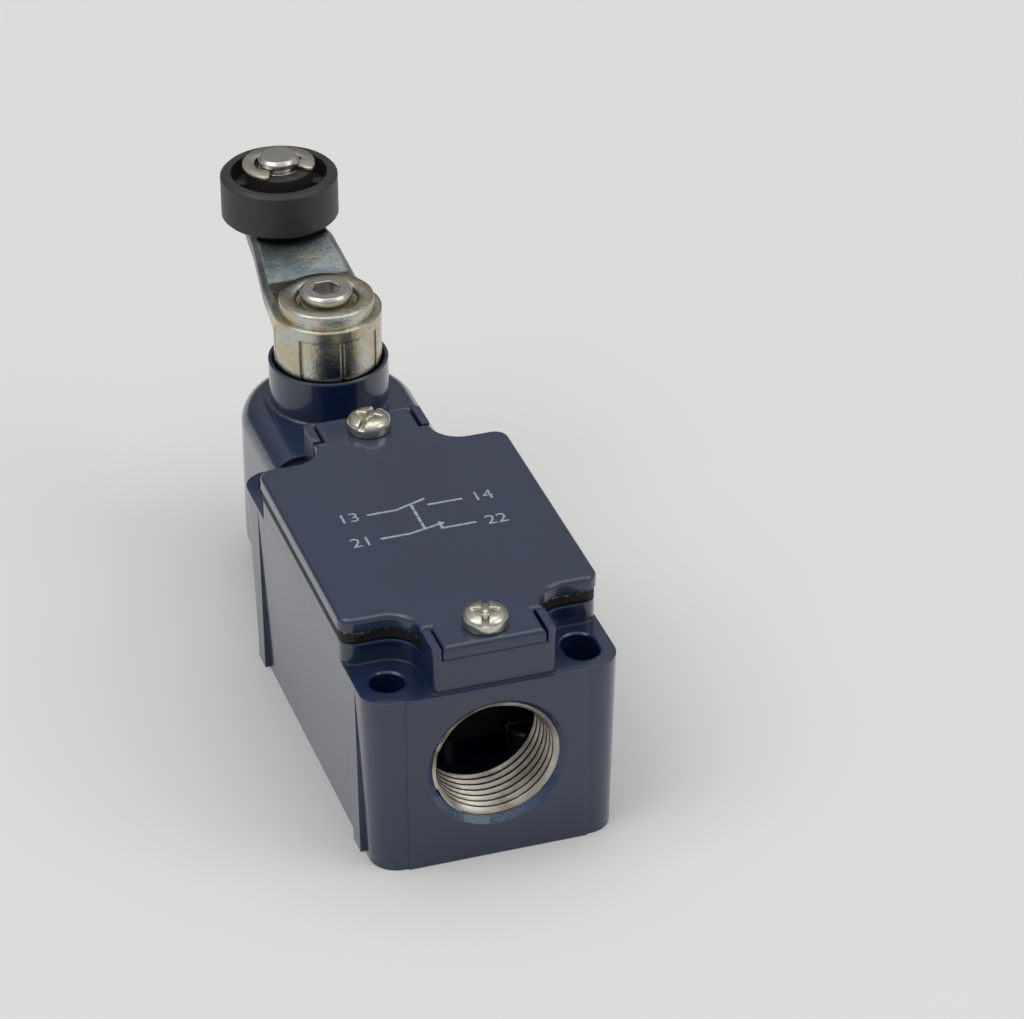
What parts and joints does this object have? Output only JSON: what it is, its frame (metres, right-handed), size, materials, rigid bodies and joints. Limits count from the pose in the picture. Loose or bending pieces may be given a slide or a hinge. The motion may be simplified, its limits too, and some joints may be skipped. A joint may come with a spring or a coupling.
{
  "type": "rotary lever limit switch",
  "caption": "Metal limit switch with a waisted screwed lid, threaded cable entry and a cranked roller lever on a side head.",
  "frame": {"origin": "centre of the fixing-hole pattern on the mounting face", "axes": "+Z out of the lid, +Y from the cable entry towards the head and lever, +X right"},
  "size_m": [0.0404, 0.1244, 0.0618],
  "materials": {
    "enamel": "glossy dark navy enamel",
    "gasket_foam": "dark cellular rubber",
    "zinc_screw": "zinc plated",
    "chromate": "yellow chromated zinc",
    "turned_steel": "bright turned steel",
    "roller_plastic": "charcoal moulded plastic",
    "block_plastic": "moulded black plastic",
    "clear_plastic": "grey moulded plastic",
    "brass": "rolled brass",
    "spring_steel": "spring steel",
    "bearing_bronze": "sintered bronze",
    "seal_rubber": "moulded rubber"
  },
  "bodies": {
    "enclosure": {"block_screw_far": "zinc_screw", "block_screw_near": "zinc_screw", "clamp_plate_far_left": "zinc_screw", "clamp_plate_far_right": "zinc_screw", "clamp_plate_near_left": "zinc_screw", "clamp_plate_near_right": "zinc_screw", "contact_base": "block_plastic", "contact_cover": "clear_plastic", "earth_plate": "zinc_screw", "earth_screw": "zinc_screw", "fixed_contact_far_left": "brass", "fixed_contact_far_right": "brass", "fixed_contact_near_left": "brass", "fixed_contact_near_right": "brass", "head_body": "enamel", "head_gasket": "gasket_foam", "head_screw_high_left": "zinc_screw", "head_screw_high_right": "zinc_screw", "head_screw_low_left": "zinc_screw", "head_screw_low_right": "zinc_screw", "housing": "enamel", "lid": "enamel", "lid_gasket": "gasket_foam", "lid_screw_far": "zinc_screw", "lid_screw_near": "zinc_screw", "plunger_guide": "clear_plastic", "plunger_spring": "spring_steel", "shaft_bush": "bearing_bronze", "shaft_seal": "seal_rubber", "terminal_screw_far_left": "zinc_screw", "terminal_screw_far_right": "zinc_screw", "terminal_screw_near_left": "zinc_screw", "terminal_screw_near_right": "zinc_screw"},
    "lever": {"shaft": "turned_steel", "cam": "turned_steel", "cam_pin": "turned_steel", "shaft_ring": "spring_steel", "lever_arm": "chromate", "serrated_disc": "chromate", "clamp_screw": "turned_steel", "roller_pin": "turned_steel", "retaining_clip": "turned_steel"},
    "roller": {"roller": "roller_plastic"},
    "plunger": {"plunger": "turned_steel"},
    "contact_carrier": {"bridge_closed": "brass", "bridge_open": "brass", "contact_carrier": "clear_plastic", "contact_spring_closed": "spring_steel", "contact_spring_open": "spring_steel"}
  },
  "joints": [
    {"name": "lever_turn", "type": "hinge", "parent": "enclosure", "child": "lever", "pos_m": [0, 0.0515, 0], "axis": [0, 0, 1], "range_deg": [-75, 75], "stiffness_Nm_per_rad": 0.2},
    {"name": "roller_spin", "type": "hinge", "parent": "lever", "child": "roller", "pos_m": [0, 0.0785, 0], "axis": [0, 0, 1], "continuous": true},
    {"name": "plunger_travel", "type": "slide", "parent": "enclosure", "child": "plunger", "axis": [0, -1, 0], "range_m": [0, 0.0033], "stiffness_N_per_m": 2000, "springref_m": -0.001, "deforming": ["plunger_spring"]},
    {"name": "contact_travel", "type": "slide", "parent": "enclosure", "child": "contact_carrier", "axis": [0, -1, 0], "range_m": [0, 0.0033]}
  ],
  "couplings": [
    {"joint": "contact_travel", "follows": "plunger_travel", "ratio": 1}
  ]
}
